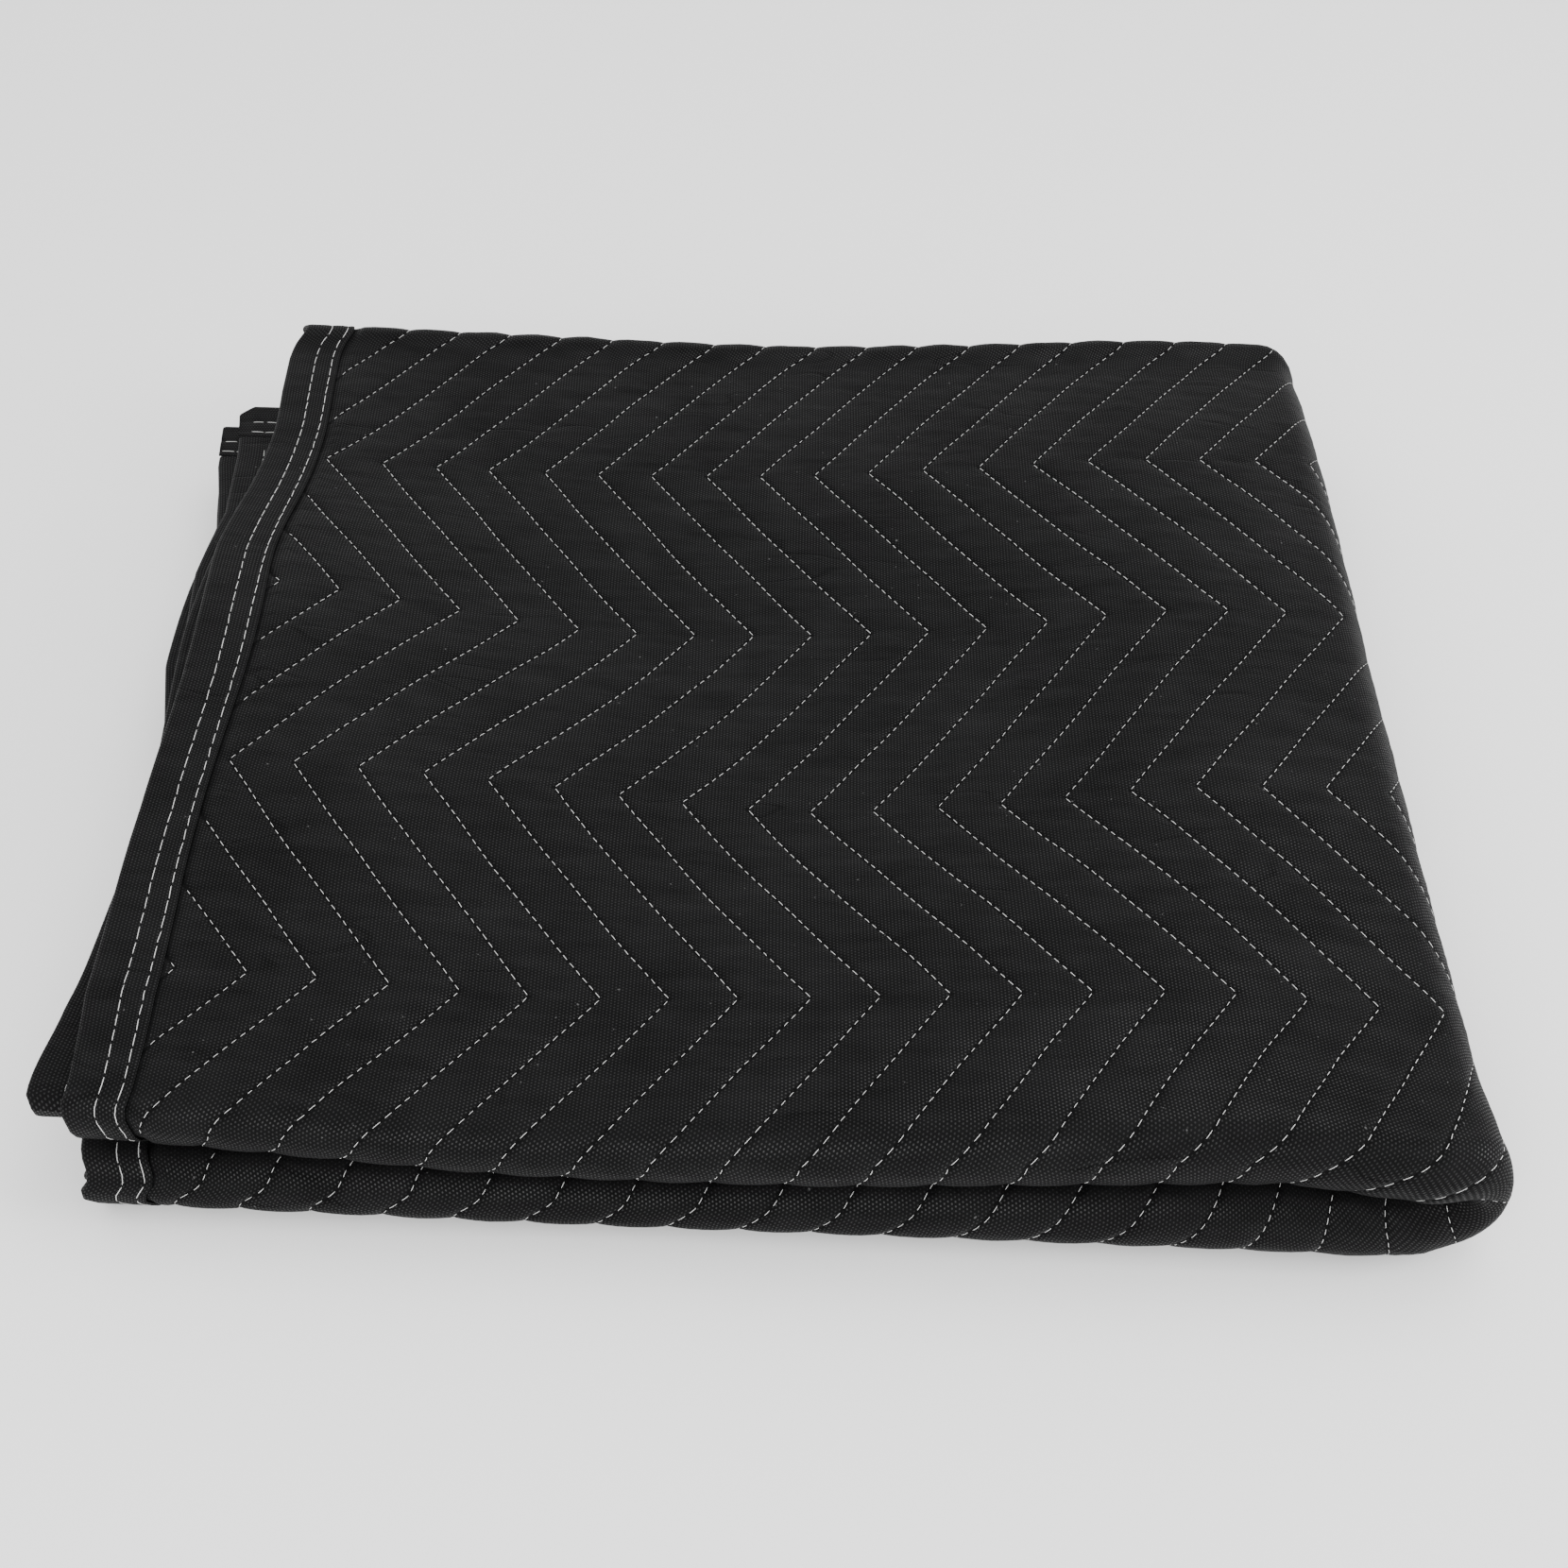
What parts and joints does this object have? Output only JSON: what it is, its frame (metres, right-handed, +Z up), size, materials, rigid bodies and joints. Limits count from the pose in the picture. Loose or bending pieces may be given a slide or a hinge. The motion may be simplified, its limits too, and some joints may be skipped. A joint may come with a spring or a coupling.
{
  "type": "folded quilted moving pad",
  "caption": "Quilted moving pad, folded in four along its length and once across into a flat soft stack.",
  "frame": {"origin": "on the surface, under the middle of the folded stack", "axes": "+Z up; +X towards the side fold, with the open bound edges at -X; +Y towards the fold that closes the top pair of layers"},
  "size_m": [0.5344, 0.487, 0.0702],
  "materials": {
    "pad_cloth": "black embossed non-woven cloth, dull",
    "binding_cloth": "black embossed non-woven binding, dull",
    "stitch_thread": "off-white spun thread"
  },
  "bodies": {
    "root": {"quilted_pad": "pad_cloth", "side_binding_outer": "binding_cloth", "side_binding_table": "binding_cloth", "end_binding_lower": "binding_cloth", "end_binding_third": "binding_cloth"}
  },
  "joints": []
}
